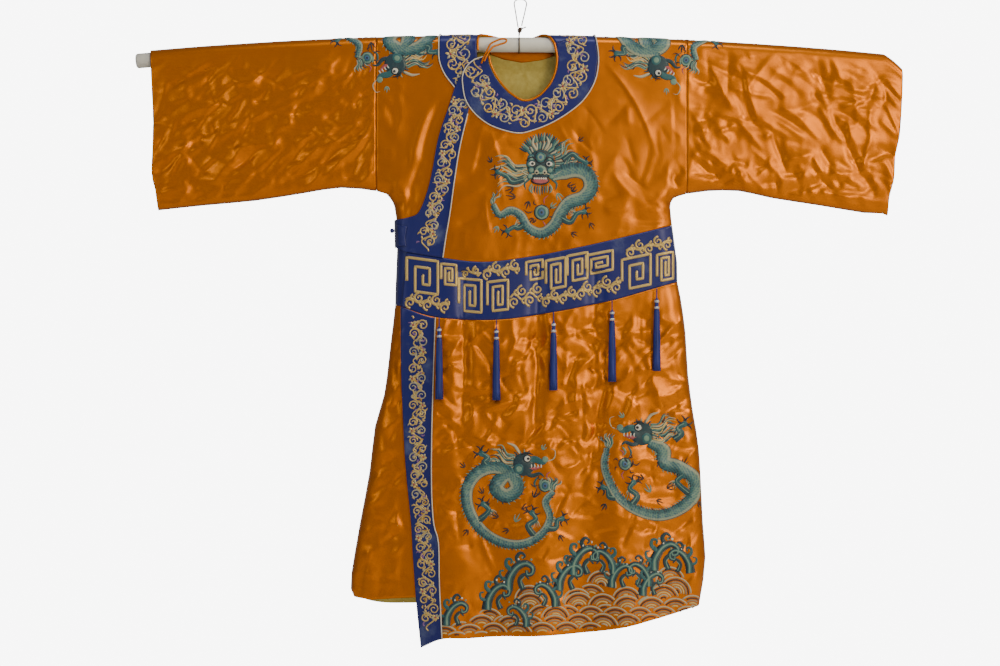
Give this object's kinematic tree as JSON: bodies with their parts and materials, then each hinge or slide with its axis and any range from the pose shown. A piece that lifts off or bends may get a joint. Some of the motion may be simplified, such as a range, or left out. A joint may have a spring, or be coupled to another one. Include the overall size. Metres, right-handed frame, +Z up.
{
  "type": "chinese dragon robe hanging on a pole",
  "caption": "Wrap-over orange satin robe with wide sleeves, round blue collar, blue borders, waistband, tassels and a pleated skirt, hung flat on a corded pole.",
  "frame": {"origin": "the inside of the top of the cord loop that the pole hangs from", "axes": "+Z up, +X along the pole to the viewer's right, the robe's front faces -Y"},
  "size_m": [1.6472, 0.1118, 1.3905],
  "materials": {
    "orange_satin": "satin",
    "blue_satin": "embroidered satin",
    "yellow_lining": "matte",
    "cream_piping": "matte",
    "blue_floss": "silky floss",
    "silver_band": "metallic thread",
    "white_pole": "painted, satin",
    "brown_cord": "matte twisted cord"
  },
  "bodies": {
    "root": {"back_lining": "yellow_lining", "body_left": "orange_satin", "body_right": "orange_satin", "collar_back": "blue_satin", "collar_front": "blue_satin", "collar_loop": "orange_satin", "collar_piping": "cream_piping", "cord_hitch": "brown_cord", "cord_knot": "brown_cord", "hanging_loop": "brown_cord", "lapel_border": "blue_satin", "lapel_piping": "cream_piping", "neck_facing": "orange_satin", "neck_roll": "orange_satin", "pole": "white_pole", "side_button": "blue_satin", "side_tie": "blue_satin", "skirt_back": "orange_satin", "skirt_border": "blue_satin", "skirt_border_piping": "cream_piping", "skirt_front": "orange_satin", "skirt_under": "orange_satin", "sleeve_left": "orange_satin", "sleeve_right": "orange_satin", "tassel_1_head": "silver_band", "tassel_1_tuft": "blue_floss", "tassel_2_head": "silver_band", "tassel_2_tuft": "blue_floss", "tassel_3_head": "silver_band", "tassel_3_tuft": "blue_floss", "tassel_4_head": "silver_band", "tassel_4_tuft": "blue_floss", "tassel_5_head": "silver_band", "tassel_5_tuft": "blue_floss", "waistband_back": "blue_satin", "waistband_front": "blue_satin", "waistband_under": "blue_satin"}
  },
  "joints": []
}
